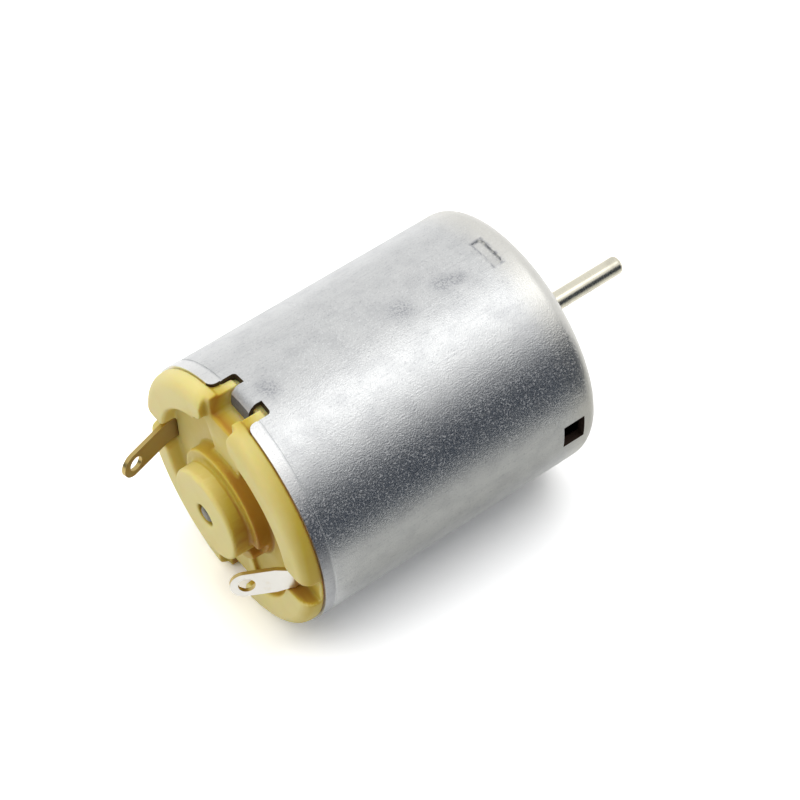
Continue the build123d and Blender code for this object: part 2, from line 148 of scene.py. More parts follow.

# The pressed tabs, for the painted shade along their outline
TAB_MIDDLE = -3.225 * MM
TAB_HALF_LENGTH = 0.575 * MM
TAB_HALF_WIDTH = 1.8 * MM
TAB_LINE = 0.3 * MM
TAB_BREAKS = 0.5 * MM

# Other finishes: sizes of their features and depths of their relief
CAP_CLOUD = 2.5 * MM
CAP_GRAIN = 0.12 * MM
CAP_RELIEF = 0.015 * MM
CAP_GLOW = 1.0 * MM
CAP_GLOW_SHARES = (1.0, 0.6, 0.15)
LUG_STAIN = 1.2 * MM
LUG_LINES = 0.08 * MM
LUG_STRETCH = (8.0, 8.0, 1.0)
LUG_RELIEF = 0.004 * MM
LEFT_SPAN = (-1 * MM, 1 * MM)
RING_SIZE = 0.05 * MM
RING_STRETCH = (1.0, 60.0, 60.0)
RING_RELIEF = 0.001 * MM
METAL_WEAR = 1.5 * MM
SHAFT_END_SHADE_SPAN = (SHAFT_REAR + 1.0 * MM, SHAFT_REAR + 0.5 * MM)
STRIP_LINES = 0.06 * MM
STRIP_STRETCH = (30.0, 1.0, 1.0)
STRIP_STAIN = 1.5 * MM
STRIP_RELIEF = 0.003 * MM
PORE_SIZE = 0.1 * MM
PORE_RELIEF = 0.02 * MM
POWDER_CLOUD = 1.8 * MM
MOULDING_GRAIN = 0.15 * MM
MOULDING_CLOUD = 2 * MM
MOULDING_RELIEF = 0.008 * MM
ENAMEL_TONE = 0.8 * MM
ENAMEL_RELIEF = 0.01 * MM

# Painted shade on the translucent cap: amber where it is closed in or turned from the lit side
LIT_SIDE = Vector((-0.62, 0.62, 0.48))
HOLLOW_SHADE = 1.25
TURNED_SHADE = 0.8
TURNED_MOST = 0.3
OPEN_SHARE = 0.14
OPEN_TURN = 0.25
UNDERSIDE_LIGHT = 0.7
SIDE_SHADE = 1.0
POCKET_SHADE = 1.4
POCKET_MIDDLE = 11.6 * MM
POCKET_REACH = 4.0 * MM
WALL_RISE = 2.0 * MM
STEP_SHADE = 0.4
STEP_INNER = 4.95 * MM
STEP_OUTER = 6.3 * MM
STEP_RISE = 2.6 * MM
HIDDEN_FROM = RIM_X + 1 * MM
OUTLOOKS = 24
OUTLOOK_REACH = 6 * MM
OUTLOOK_LIFT = 0.05 * MM
GOLDEN_TURN = math.pi * (3 - math.sqrt(5))

# Stage: the middle of the lit place, and panels and lights by size, place from it and the way they face
STAGE_MIDDLE = Vector(((CAN_LOW.x + CAN_HIGH.x) / 2, 0.0, CAD_BOX[0].z))
UP = Vector((0, 0, 1))
FLOOR_SIZE = 1.2
DARK_CARD = (0.5, 0.22, Vector((0.105, -0.29, 0.109)), Vector((-0.2, 1, 0)))
REAR_CARD = (0.3, 0.16, Vector((-0.24, 0.15, 0.089)), Vector((0.85, -0.5, 0)))
DARK_APRON = (0.5, 0.235, Vector((0.1157, -0.1625, 1 * MM)), UP)
GREY_APRON = (0.12, 0.031, Vector((0.0477, -0.0295, 0.5 * MM)), UP)
CARD_ROUGHNESS = 0.8
MIRRORED_FLOOR = 0.12
LIGHT_DISTANCE = 0.5
WIDE_LIGHT = 0.5
NARROW_LIGHT = 0.25
MAIN_WAY = Vector((0.30, 0.0, 0.95))
LEFT_WAY = Vector((-0.50, 0.35, 0.80))
TOP_WAY = Vector((0.351, -0.20, 0.92))
PICTURE_SIDE = 36.0
NEAREST_SEEN = 1 * MM

# Wound wire
POLES = 3
STEPS_PER_TURN = 24
WIRE_SIDES = 6
WIRE_RADIUS_SHARE = 0.48
CORNER_SQUARENESS = 4.0


class MotorSizes(bpy.types.PropertyGroup):
    """Sizes of the detail that the looks add to the solids"""

    cap_grid: FloatProperty(
        name="Cap grid", description="Grid on which the moulded cap's edges are rounded",
        default=0.13 * MM, min=0.08 * MM, unit="LENGTH", precision=5)
    cap_passes: IntProperty(
        name="Cap rounding", description="Smoothing passes over the moulded cap", default=15, min=0)
    cap_keep: FloatProperty(
        name="Cap faces kept", description="Share of the grid's faces that stay on the cap",
        default=0.3, min=0.05, max=1.0, subtype="FACTOR")
    can_edge: FloatProperty(
        name="Can edge", description="Rounding of the can's sheared edges",
        default=0.06 * MM, min=0.0, unit="LENGTH", precision=5)
    sheet_edge: FloatProperty(
        name="Sheet edge", description="Rounding of the lugs, leaves and clips",
        default=0.05 * MM, min=0.0, unit="LENGTH", precision=5)
    block_edge: FloatProperty(
        name="Block edge", description="Rounding of the magnets, brushes, bushes and washers",
        default=0.08 * MM, min=0.0, unit="LENGTH", precision=5)
    wire: FloatProperty(
        name="Wire", description="Diameter of the enamelled wire", default=0.4 * MM, min=0.1 * MM,
        unit="LENGTH", precision=5)
    wire_layers: IntProperty(name="Layers", description="Layers of wire on one pole", default=5, min=1)
    wire_turns: IntProperty(name="Turns", description="Turns of wire in one layer", default=8, min=1)
    wire_clearance: FloatProperty(
        name="Wire clearance", description="Room between the wire and the core's insulation",
        default=0.15 * MM, min=0.0, unit="LENGTH", precision=5)
    core_sheet: FloatProperty(
        name="Core sheet", description="Thickness of one sheet of the core", default=0.5 * MM,
        min=0.2 * MM, unit="LENGTH", precision=5)
    core_gap: FloatProperty(
        name="Core gap", description="Varnish line between two sheets of the core",
        default=0.05 * MM, min=0.0, unit="LENGTH", precision=5)


def colour_property(label, text, red, green, blue):
    """A colour that a user would change, in linear light."""
    return FloatVectorProperty(name=label, description=text, subtype="COLOR", size=4, min=0.0, max=1.0,
                               default=(red, green, blue, 1.0))


class MotorColours(bpy.types.PropertyGroup):
    """Colours of the finishes"""

    zinc: colour_property("Zinc", "Plating of the can", 0.79, 0.80, 0.80)
    # Also painted shade on the rim's sides and round the pressed tabs, and at half tone inside the can
    zinc_dull_and_shade: colour_property("Dull zinc", "Rubbed and handled plating", 0.42, 0.43, 0.455)
    zinc_edge: colour_property("Zinc edge", "Plating round the can's front edge", 0.86, 0.85, 0.80)
    # Also the painted highlight on the rim band's upper side
    zinc_glint_and_highlight: colour_property("Zinc glint", "Bright crystals in the plating", 0.97, 0.97, 0.96)
    # Painted near black: bare sheared steel, with painted shade where these faces sit in the rim gap,
    # notches and windows
    sheared: colour_property("Sheared steel", "Bare sheared edges of the can", 0.05, 0.03, 0.022)
    cream: colour_property("Cream", "Open faces of the moulded cap", 0.81, 0.70, 0.275)
    # Painted shade: honey and amber are shaded copies of the cream
    honey_shade: colour_property("Honey", "Walls of the moulded cap", 0.61, 0.46, 0.065)
    amber_shade: colour_property("Amber", "Depths of the moulded cap", 0.46, 0.235, 0.03)
    tin: colour_property("Tin", "Plating of the solder lugs", 0.86, 0.84, 0.78)
    # Brown painted on the left lug's face
    left_lug_brown: colour_property("Tarnish", "Browned face of the left lug", 0.36, 0.235, 0.10)
    brass: colour_property("Brass", "Bare sheared edges of the lugs", 0.62, 0.47, 0.18)
    steel: colour_property("Steel", "Ground shaft", 0.90, 0.86, 0.71)
    bronze: colour_property("Bronze", "Sintered bushes and brush leaves", 0.55, 0.36, 0.17)
    ferrite: colour_property("Ferrite", "Magnets", 0.045, 0.045, 0.05)
    spring: colour_property("Spring", "Blued spring steel of the magnet clips", 0.07, 0.07, 0.08)
    carbon: colour_property("Carbon", "Brushes", 0.03, 0.03, 0.032)
    core: colour_property("Core", "Electrical sheet", 0.33, 0.34, 0.36)
    board: colour_property("Board", "Insulation on the core's ends", 0.10, 0.30, 0.16)
    copper: colour_property("Copper", "Bare segments", 0.80, 0.42, 0.24)
    enamel: colour_property("Enamel", "Enamelled wire", 0.48, 0.13, 0.035)
    moulding: colour_property("Moulding", "Commutator body", 0.06, 0.035, 0.02)
    nylon: colour_property("Nylon", "Washers and spacer", 0.70, 0.68, 0.60)


class MotorStage(bpy.types.PropertyGroup):
    """Camera, floor and lights"""

    aim: FloatVectorProperty(
        name="Aim", description="Point at the middle of the picture", subtype="TRANSLATION", size=3,
        default=(-14.472 * MM, -0.658 * MM, 0.482 * MM), precision=5)
    azimuth: FloatProperty(
        name="Azimuth", description="Camera's turn about the vertical", subtype="ANGLE",
        default=math.radians(-34.947))
    elevation: FloatProperty(
        name="Elevation", description="Camera's height above the horizon", subtype="ANGLE",
        default=math.radians(52.244))
    roll: FloatProperty(
        name="Roll", description="Camera's lean, for the can's own roll on the floor", subtype="ANGLE",
        default=math.radians(-2.452))
    distance: FloatProperty(
        name="Distance", description="From the aim to the camera", default=236.16 * MM, unit="LENGTH")
    lens: FloatProperty(
        name="Lens", description="Focal length on a 36 mm square", default=109.118, unit="CAMERA")
    floor: FloatProperty(
        name="Floor", description="Tone of the plain floor", default=0.90, min=0.0, max=1.0,
        subtype="FACTOR")
    card: colour_property("Card", "Dark cards that the can's side mirrors", 0.015, 0.025, 0.045)
    grey_card: colour_property("Grey card", "Card that the can's lower side mirrors", 0.55, 0.55, 0.52)
    floor_lift: FloatProperty(
        name="Floor lift", description="Share by which the floor is paler where it is seen", default=0.8,
        min=0.0)
    sky: FloatProperty(
        name="Sky", description="Even light from all round", default=0.32, min=0.0)
    main_light: FloatProperty(
        name="Main light", description="Power of the large soft light overhead", default=1.5, min=0.0,
        unit="POWER")
    left_light: FloatProperty(
        name="Left light", description="Power of the soft light at the upper left", default=1.3, min=0.0,
        unit="POWER")
    top_light: FloatProperty(
        name="Top light", description="Power of the light that the can's top mirrors", default=0.2, min=0.0,
        unit="POWER")


class Wire:
    """An output socket: arithmetic on it adds Math nodes, and node() adds any other node to its tree."""

    def __init__(self, tree, socket=None):
        self.tree = tree
        self.socket = socket

    def node(self, kind, settings=None, inputs=None, out=0):
        """Adds a node, sets its settings first and then its inputs, and returns one of its outputs."""
        made = self.tree.nodes.new(kind)
        for key, value in (settings or {}).items():
            setattr(made, key, value)
        for key, value in (inputs or {}).items():
            if isinstance(value, Wire):
                self.tree.links.new(value.socket, made.inputs[key])
            else:
                made.inputs[key].default_value = value
        return Wire(self.tree, made.outputs[out] if made.outputs else None)

    def math(self, operation, first, second=0.0):
        return self.node("ShaderNodeMath", {"operation": operation}, {0: first, 1: second})

    def __add__(self, other):
        return self.math("ADD", self, other)

    def __radd__(self, other):
        return self.math("ADD", other, self)

    def __sub__(self, other):
        return self.math("SUBTRACT", self, other)

    def __rsub__(self, other):
        return self.math("SUBTRACT", other, self)

    def __mul__(self, other):
        return self.math("MULTIPLY", self, other)

    def __rmul__(self, other):
        return self.math("MULTIPLY", other, self)

    def __truediv__(self, other):
        return self.math("DIVIDE", self, other)

    def __rtruediv__(self, other):
        return self.math("DIVIDE", other, self)

    def floor(self):
        return self.math("FLOOR", self)

    def root(self):
        return self.math("SQRT", self)

    def limited(self, low, high):
        return self.math("MINIMUM", self.math("MAXIMUM", self, low), high)

    def step(self, low, high):
        """0 below low, 1 above high and smooth between; low may be the larger."""
        return self.node("ShaderNodeMapRange", {"interpolation_type": "SMOOTHSTEP"},
                         {"Value": self, "From Min": low, "From Max": high})

    def mix(self, first, second):
        """Blends two colours by this value."""
        return self.node("ShaderNodeMix", {"data_type": "RGBA"}, {0: self, 6: first, 7: second}, out=2)

    def parts(self):
        """The three coordinates of this vector."""
        split = self.node("ShaderNodeSeparateXYZ", None, {0: self})
        return [Wire(self.tree, socket) for socket in split.socket.node.outputs]

    def noise(self, size, detail=2.0, stretch=(1.0, 1.0, 1.0)):
        """Noise of a real feature size over this place, drawn out along an axis by its stretch."""
        spread = self.node("ShaderNodeMapping", None,
                           {"Vector": self, "Scale": tuple(1 / (size * share) for share in stretch)})
        return self.node("ShaderNodeTexNoise", None, {"Vector": spread, "Scale": 1.0, "Detail": detail})

    def carried(self, name):
        """A value that the mesh itself carries."""
        return self.node("ShaderNodeAttribute", {"attribute_name": name}, out="Fac")

    def bump(self, depth):
        """The normal of a surface with this height, in shares of a real depth."""
        return self.node("ShaderNodeBump", None, {"Height": self, "Distance": depth, "Strength": 1.0})


def emptied(owner):
    """The emptied node tree of a material or a world, ready for nodes."""
    owner.use_nodes = True
    owner.node_tree.nodes.clear()
    return Wire(owner.node_tree)


def new_finish(name, paint, colours, **values):
    """A material whose shader inputs come from paint(place, ...), with place in Object coordinates."""
    material = bpy.data.materials.new(name)
    wire = emptied(material)
    place = wire.node("ShaderNodeTexCoord", out="Object")
    shader = wire.node("ShaderNodeBsdfPrincipled", None, paint(place, colours, **values))
    wire.node("ShaderNodeOutputMaterial", None, {"Surface": shader})
    return material


def scaled(colour, share):
    return (colour[0] * share, colour[1] * share, colour[2] * share, 1.0)


def smudge(place, along, angle, reach):
    """1 at one place on the can's side, fading out over its reach."""
    spot = (along, CAN_RADIUS * math.sin(angle), CAN_RADIUS * math.cos(angle))
    away = place.node("ShaderNodeVectorMath", {"operation": "DISTANCE"}, {0: place, 1: spot}, out="Value")
    return away.step(reach, 0.0)


def tab_outline_shade(place):
    """1 along the outline of the pressed tabs, broken up by noise, for painted shade in their crease."""
    along, across = place.parts()[:2]
    past_end = place.math("ABSOLUTE", along - TAB_MIDDLE) - TAB_HALF_LENGTH
    past_side = place.math("ABSOLUTE", across) - TAB_HALF_WIDTH
    away = place.math("ABSOLUTE", place.math("MAXIMUM", past_end, past_side))
    return away.step(TAB_LINE, 0.0) * place.noise(TAB_BREAKS, detail=3.0).step(0.35, 0.6)


def zinc_plate(place, colours):
    """Plated deep-drawn steel: crystals, frost, pits, drawing lines and smudges, with dark sheared edges
    that also carry painted shade, a painted highlight on the rim's upper side, and painted shade on the
    rim's sides and round the pressed tabs.
    """
    along, across, height = place.parts()
    sparkle = place.noise(SPARKLE_SIZE)
    frost = place.noise(FROST_SIZE, detail=1.0).step(*FROST_RANGE)
    pits = place.noise(PIT_SIZE, stretch=PIT_STRETCH).step(*PIT_RANGE)
    lines = place.noise(LINE_SIZE, stretch=LINE_STRETCH)
    cloud = place.noise(PLATING_CLOUD, detail=3.0)
    specks = place.noise(SPECK_SIZE, detail=3.0).step(*SPECK_RANGE)
    polished = along.step(*POLISHED_SPAN)
    rim = along.step(*RIM_SPAN)
    # Painted highlight: the rim band is brightened on its upper side only
    rim_highlight = rim * height.step(*RIM_LIT_SPAN)
    # Painted shade: the rim is darkened on its sides, between its foot and its top
    rim_shade = rim * height.step(*RIM_SHADE_TOP) * height.step(*RIM_SHADE_FOOT)
    smudged = sum(smudge(place, *spot) for spot in SMUDGES)
    radius = (across * across + height * height).root()
    inside = radius.step(*INSIDE_SPAN) * along.step(*INSIDE_END)
    dull_and_shade = CLOUD_DULL * cloud.step(*CLOUD_RANGE) + LINE_DULL * lines.step(*LINE_RANGE) + PIT_DULL * pits
    dull_and_shade = dull_and_shade * (1 - POLISHED_CLEAN * polished) * (1 - RIM_HIGHLIGHT_UNDULL * rim_highlight)
    dull_and_shade = dull_and_shade + RIM_SHADE_DULL * rim_shade + smudged * (SMUDGE_VEIL + SMUDGE_SPECKS * specks)
    # Painted shade along the crease round the pressed tabs
    dull_and_shade = dull_and_shade + TAB_SHADE * tab_outline_shade(place)
    plating = polished.mix(tuple(colours.zinc), tuple(colours.zinc_edge))
    plating = (RIM_GLINT * rim_highlight).mix(plating, tuple(colours.zinc_glint_and_highlight))
    plating = (SPARKLE_GLINT * sparkle.step(*GLINT_RANGE)).mix(plating, tuple(colours.zinc_glint_and_highlight))
    colour = dull_and_shade.limited(0.0, 1.0).mix(plating, tuple(colours.zinc_dull_and_shade))
    colour = inside.mix(colour, scaled(colours.zinc_dull_and_shade, INSIDE_TONE))
    # Painted shade as well as bare steel: the sheared faces are painted near black
    sheared_and_shaded = place.carried("cut_edge")
    bent = place.math("ABSOLUTE", across).step(*TONGUE_SIDE) * along.step(*TONGUE_ROOT)
    colour = sheared_and_shaded.mix(colour, tuple(colours.sheared))
    return {
        "Base Color": colour,
        "Metallic": 1 - SHEARED_MATT * sheared_and_shaded - FROST_MATT * frost * (1 - sheared_and_shaded),
        "Roughness": (PLATING_ROUGHNESS + 0.08 * cloud + 0.10 * sparkle + 0.15 * smudged + 0.2 * sheared_and_shaded
                      + 0.25 * bent),
        "Normal": (SPARKLE_RELIEF * sparkle + (1 - SPARKLE_RELIEF) * lines).bump(PLATING_RELIEF),
    }


def cream_moulding(place, colours):
    """Translucent plastic: cream on open faces, with painted shade in honey on the walls and amber in the
    recesses.
    """
    cloud = place.noise(CAP_CLOUD, detail=3.0)
    grain = place.noise(CAP_GRAIN)
    # Painted shade: the amber_shade share darkens the cream through honey to amber
    depth = 2 * place.carried("amber_shade") + 0.3 * (cloud - 0.5)
    colour = depth.limited(0.0, 1.0).mix(tuple(colours.cream), tuple(colours.honey_shade))
    colour = (depth - 1).limited(0.0, 1.0).mix(colour, tuple(colours.amber_shade))
    return {
        "Base Color": colour,
        "Roughness": 0.36 + 0.12 * cloud,
        "Normal": (0.4 * grain + 0.6 * cloud).bump(CAP_RELIEF),
        "Subsurface Weight": 0.6,
        "Subsurface Radius": CAP_GLOW_SHARES,
        "Subsurface Scale": CAP_GLOW,
        "Specular IOR Level": 0.3,
    }


def tinned_brass(place, colours):
    """Tinned lugs with bare brass on their sheared edges; the left one's face is painted brown."""
    left = place.parts()[1].step(*LEFT_SPAN)
    stain = place.noise(LUG_STAIN, detail=3.0)
    brushed = place.noise(LUG_LINES, stretch=LUG_STRETCH)
    bare = (place.carried("cut_edge") + 0.2 * stain.step(0.55, 0.8)).limited(0.0, 1.0)
    return {
        "Base Color": bare.mix((0.85 * left).mix(tuple(colours.tin), tuple(colours.left_lug_brown)),
                               tuple(colours.brass)),
        "Metallic": 1.0,
        "Roughness": 0.22 + 0.1 * stain + 0.1 * brushed,
        "Normal": brushed.bump(LUG_RELIEF),
    }


def turned_metal(place, colour, roughness):
    """Ground or turned metal with fine rings round the shaft's axis."""
    rings = place.noise(RING_SIZE, stretch=RING_STRETCH)
    wear = place.noise(METAL_WEAR, detail=3.0)
    return {
        "Base Color": wear.step(0.4, 0.8).mix(tuple(colour), scaled(colour, 0.8)),
        "Metallic": 1.0,
        "Roughness": roughness + 0.08 * rings + 0.06 * wear,
        "Normal": rings.bump(RING_RELIEF),
    }


def ground_shaft(place, colour, roughness):
    """Ground steel, darkened at its rear end as painted shade where it sits in the boss hole."""
    finish = turned_metal(place, colour, roughness)
    # Painted shade: the rear end is darkened to a fifth of the steel's colour
    shaft_end_shade = place.parts()[0].step(*SHAFT_END_SHADE_SPAN)
    finish["Base Color"] = shaft_end_shade.mix(finish["Base Color"], scaled(colour, 0.2))
    return finish


def sheet_metal(place, colour, roughness):
    """Rolled strip with fine lengthwise lines and a little staining."""
    lines = place.noise(STRIP_LINES, stretch=STRIP_STRETCH)
    stain = place.noise(STRIP_STAIN, detail=4.0)
    return {
        "Base Color": stain.step(0.4, 0.75).mix(tuple(colour), scaled(colour, 0.65)),
        "Metallic": 1.0,
        "Roughness": roughness + 0.1 * lines + 0.08 * stain,
        "Normal": lines.bump(STRIP_RELIEF),
    }


def pressed_powder(place, colour, metallic, roughness):
    """Sintered or pressed powder: open pores and an uneven, dusty tone."""
    pores = place.noise(PORE_SIZE, detail=4.0)
    cloud = place.noise(POWDER_CLOUD, detail=3.0)
    shade = 0.5 * pores.step(0.4, 0.6) + 0.5 * cloud.step(0.3, 0.7)
    return {
        "Base Color": shade.mix(scaled(colour, 0.7), scaled(colour, 1.2)),
        "Metallic": metallic,
        "Roughness": roughness + 0.15 * pores,
        "Normal": pores.bump(PORE_RELIEF),
    }


def plain_moulding(place, colour, roughness):
    """Moulded or punched insulation with a faint texture."""
    grain = place.noise(MOULDING_GRAIN, detail=3.0)
    cloud = place.noise(MOULDING_CLOUD)
    return {
        "Base Color": cloud.step(0.3, 0.7).mix(scaled(colour, 0.85), tuple(colour)),
        "Roughness": roughness + 0.12 * grain,
        "Normal": grain.bump(MOULDING_RELIEF),
    }


def enamelled_wire(place, colours):
    """Copper under clear amber enamel."""
    tone = place.noise(ENAMEL_TONE)
    return {
        "Base Color": tone.step(0.3, 0.7).mix(scaled(colours.enamel, 0.7), scaled(colours.enamel, 1.15)),
        "Metallic": 0.75,
        "Roughness": 0.28 + 0.1 * tone,
        "Coat Weight": 0.6,
        "Coat Roughness": 0.15,
        "Normal": tone.bump(ENAMEL_RELIEF),
    }


def link_piece(name, mesh):
    piece = bpy.data.objects.new(name, mesh)
    bpy.context.scene.collection.objects.link(piece)
    return piece


def copy_of(node, name):
    """A free copy of a node's mesh, with its loose triangles merged into whole faces."""
    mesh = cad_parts[node].data.copy()
    mesh.materials.clear()
    if "custom_normal" in mesh.attributes:
        mesh.attributes.remove(mesh.attributes["custom_normal"])
    work = bmesh.new()
    work.from_mesh(mesh)
    bmesh.ops.remove_doubles(work, verts=work.verts, dist=MERGE_DISTANCE)
    bmesh.ops.dissolve_limit(work, angle_limit=FLAT_ANGLE, verts=work.verts, edges=work.edges)
    work.to_mesh(mesh)
    work.free()
    return link_piece(name, mesh)


def settle(piece):
    """Turns a piece's modifiers into its plain mesh."""
    graph = bpy.context.evaluated_depsgraph_get()
    mesh = bpy.data.meshes.new_from_object(piece.evaluated_get(graph))
    piece.modifiers.clear()
    piece.data = mesh


def round_edges(piece, width):
    """Smooth shading, with a small bevel along the sharp edges."""
    piece.data.shade_smooth()
    piece.data.set_sharp_from_angle(angle=SHARP_ANGLE)
    bevel = piece.modifiers.new("Edges", "BEVEL")
    bevel.width = width
    bevel.segments = BEVEL_SEGMENTS
    bevel.limit_method = "ANGLE"
    bevel.angle_limit = SHARP_ANGLE
    bevel.harden_normals = True
    settle(piece)


def place_piece(piece, body, slot, material, *nodes):
    """Gives a finished piece its material, its body and the nodes that it stands for."""
    piece.data.materials.clear()
    piece.data.materials.append(material)
    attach(piece, body)
    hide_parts(*nodes)


def rounded_nodes(names, width, body, slot, material):
    """One rounded copy for each of these nodes."""
    for node in names:
        piece = copy_of(node, node + "_body")
        round_edges(piece, width)
        place_piece(piece, body, slot, material, node)


def new_node_tree(name, sockets):
    """A Geometry Nodes tree with named inputs; returns it with its input node's outputs."""
    tree = bpy.data.node_groups.new(name, "GeometryNodeTree")
    tree.interface.new_socket("Geometry", in_out="INPUT", socket_type="NodeSocketGeometry")
    for label, kind in sockets.items():
        tree.interface.new_socket(label, in_out="INPUT", socket_type=kind)
    tree.interface.new_socket("Geometry", in_out="OUTPUT", socket_type="NodeSocketGeometry")
    entry = tree.nodes.new("NodeGroupInput")
    return tree, {socket.name: Wire(tree, socket) for socket in entry.outputs if socket.name}


def grow(piece, tree, values):
    """Runs a tree on a piece, with each input set by its identifier, and settles the result."""
    modifier = piece.modifiers.new(tree.name, "NODES")
    modifier.node_group = tree
    for item in tree.interface.items_tree:
        if item.in_out == "INPUT" and item.name in values:
            modifier[item.identifier] = values[item.name]
    settle(piece)


def coil_tree():
    """One unbroken wire wound in layers round a rectangular tooth that stands along +Z."""
    size, count = "NodeSocketFloat", "NodeSocketInt"
    tree, entry = new_node_tree("Coil", {
        "Middle": size, "Half length": size, "Half width": size, "Foot": size, "Reach": size,
        "Wire": size, "Bulge": size, "Layers": count, "Turns": count, "Pole angle": size,
        "Material": "NodeSocketMaterial"})
    wire = entry["Wire"]
    wound = wire.node("GeometryNodeInputIndex") / STEPS_PER_TURN
    layer = (wound / entry["Turns"]).floor()
    climb = wound - layer * entry["Turns"]
    back = wire.math("MODULO", layer, 2.0)
    climb = climb * (1 - back) + (entry["Turns"] - climb) * back
    turn = wound * math.tau
    cosine, sine = wire.math("COSINE", turn), wire.math("SINE", turn)
    spread = (layer + 0.5) * wire
    out = entry["Half width"] + spread + 0.5 * wire
    low = entry["Foot"] + 0.5 * wire
    high = (entry["Reach"] * entry["Reach"] - out * out).root() - 0.5 * wire
    along, across = ((CORNER_SQUARENESS * swing).limited(-1.0, 1.0) for swing in (cosine, sine))
    x = entry["Half length"] * along + spread * entry["Bulge"] * cosine
    y = entry["Half width"] * across + spread * sine
    z = low + (high - low) * climb / entry["Turns"]
    place = wire.node("ShaderNodeCombineXYZ", None, {0: x + entry["Middle"], 1: y, 2: z})
    points = entry["Layers"] * entry["Turns"] * STEPS_PER_TURN
    line = wire.node("GeometryNodeMeshLine", None, {"Count": points})
    curve = wire.node("GeometryNodeMeshToCurve", None, {0: line})
    curve = wire.node("GeometryNodeSetPosition", None, {"Geometry": curve, "Position": place})
    section = wire.node("GeometryNodeCurvePrimitiveCircle", None,
                        {"Resolution": WIRE_SIDES, "Radius": WIRE_RADIUS_SHARE * wire})
    tube = wire.node("GeometryNodeCurveToMesh", None,
                     {"Curve": curve, "Profile Curve": section, "Fill Caps": True})
    lean = wire.node("ShaderNodeCombineXYZ", None, {0: entry["Pole angle"]})
    tube = wire.node("GeometryNodeTransform", None, {"Geometry": tube, "Rotation": lean})
    tube = wire.node("GeometryNodeSetShadeSmooth", None, {0: tube})
    finish_tree(tube, entry["Material"])
    return tree


def finish_tree(shape, material):
    """Realises a tree's instances, sets its material and closes it."""
    shape = shape.node("GeometryNodeRealizeInstances", None, {0: shape})
    shape = shape.node("GeometryNodeSetMaterial", None, {"Geometry": shape, "Material": material})
    shape.node("NodeGroupOutput", None, {0: shape})


def stack_tree():
    """Copies one flat punched face along the shaft as a stack of closed sheets."""
    tree, entry = new_node_tree("Sheet stack", {
        "Sheet": "NodeSocketFloat", "Gap": "NodeSocketFloat", "Length": "NodeSocketFloat",
        "Material": "NodeSocketMaterial"})
    face = entry["Geometry"]
    pitch = entry["Sheet"] + entry["Gap"]
    count = ((entry["Length"] + entry["Gap"]) / pitch).floor()
    thickness = (entry["Length"] + entry["Gap"]) / count - entry["Gap"]
    lift = face.node("ShaderNodeCombineXYZ", None, {0: thickness})
    sides = face.node("GeometryNodeExtrudeMesh", None,
                      {"Mesh": face, "Offset": lift, "Offset Scale": 1.0, "Individual": False})
    sides = face.node("GeometryNodeFlipFaces", None, {0: sides})
    sheet = face.node("GeometryNodeJoinGeometry")
    join = sheet.socket.node
    for part in (sides, face):
        tree.links.new(part.socket, join.inputs[0])
    sheet = face.node("GeometryNodeMergeByDistance", None, {"Geometry": sheet, "Distance": MERGE_DISTANCE})
    step = face.node("ShaderNodeCombineXYZ", None, {0: thickness + entry["Gap"]})
    rack = face.node("GeometryNodeMeshLine", None, {"Count": count, "Offset": step})
    stack = face.node("GeometryNodeInstanceOnPoints", None, {"Points": rack, "Instance": sheet})
    finish_tree(stack, entry["Material"])
    return tree


class MOTOR_OT_can(bpy.types.Operator):
    """The drawn can, with its sheared edges rounded and its plating"""

    bl_idname = "motor.can"
    bl_label = "Can"

    def execute(self, context):
        sizes, colours = context.scene.motor_sizes, context.scene.motor_colours
        zinc = new_finish("zinc_plate", zinc_plate, colours)
        piece = copy_of("can", "can_body")
        mark_sheared_rim(piece.data)
        round_edges(piece, sizes.can_edge)
        place_piece(piece, "housing", "can_steel", zinc, "can")
        return {"FINISHED"}


def mark_sheared_rim(mesh):
    """Marks with 1 the sheared faces of the can's sheet: its rim, notches, tongues and windows."""
    cut = mesh.attributes.new("cut_edge", "FLOAT", "FACE")
    for face in mesh.polygons:
        radial = Vector((0, face.center.y, face.center.z))
        outward = radial.normalized()
        tangent = Vector((1, 0, 0)).cross(outward)
        depth = CAN_RADIUS - radial.length
        flank = abs(face.normal.dot(outward)) < OUTWARD_MOST
        across = flank and abs(face.normal.dot(tangent)) > ACROSS_LEAST
        rearward = face.normal.x < -REARWARD_LEAST and depth < RIM_DEPTH
        beside = face.center.x > -WINDOW_REACH and abs(face.center.z) < WINDOW_REACH
        window = flank and beside and depth < WINDOW_DEPTH
        sheared = window or face.center.x < RIM_X + NOTCH_REACH and (across or rearward)
        cut.data[face.index].value = 1.0 if sheared else 0.0


class MOTOR_OT_end_cap(bpy.types.Operator):
    """The moulded cap, with soft moulded edges"""

    bl_idname = "motor.end_cap"
    bl_label = "End cap"

    def execute(self, context):
        sizes, colours = context.scene.motor_sizes, context.scene.motor_colours
        piece = copy_of("end_cap", "end_cap_body")
        skin = piece.modifiers.new("Skin", "REMESH")
        skin.mode = "VOXEL"
        skin.voxel_size = sizes.cap_grid
        soft = piece.modifiers.new("Soft", "SMOOTH")
        soft.factor = CAP_SMOOTHING
        soft.iterations = sizes.cap_passes
        thin = piece.modifiers.new("Thin", "DECIMATE")
        thin.ratio = sizes.cap_keep
        settle(piece)
        piece.data.shade_smooth()
        mark_amber_shade(piece.data)
        cream = new_finish("cream_moulding", cream_moulding, colours)
        place_piece(piece, "housing", "cap_plastic", cream, "end_cap")
        return {"FINISHED"}


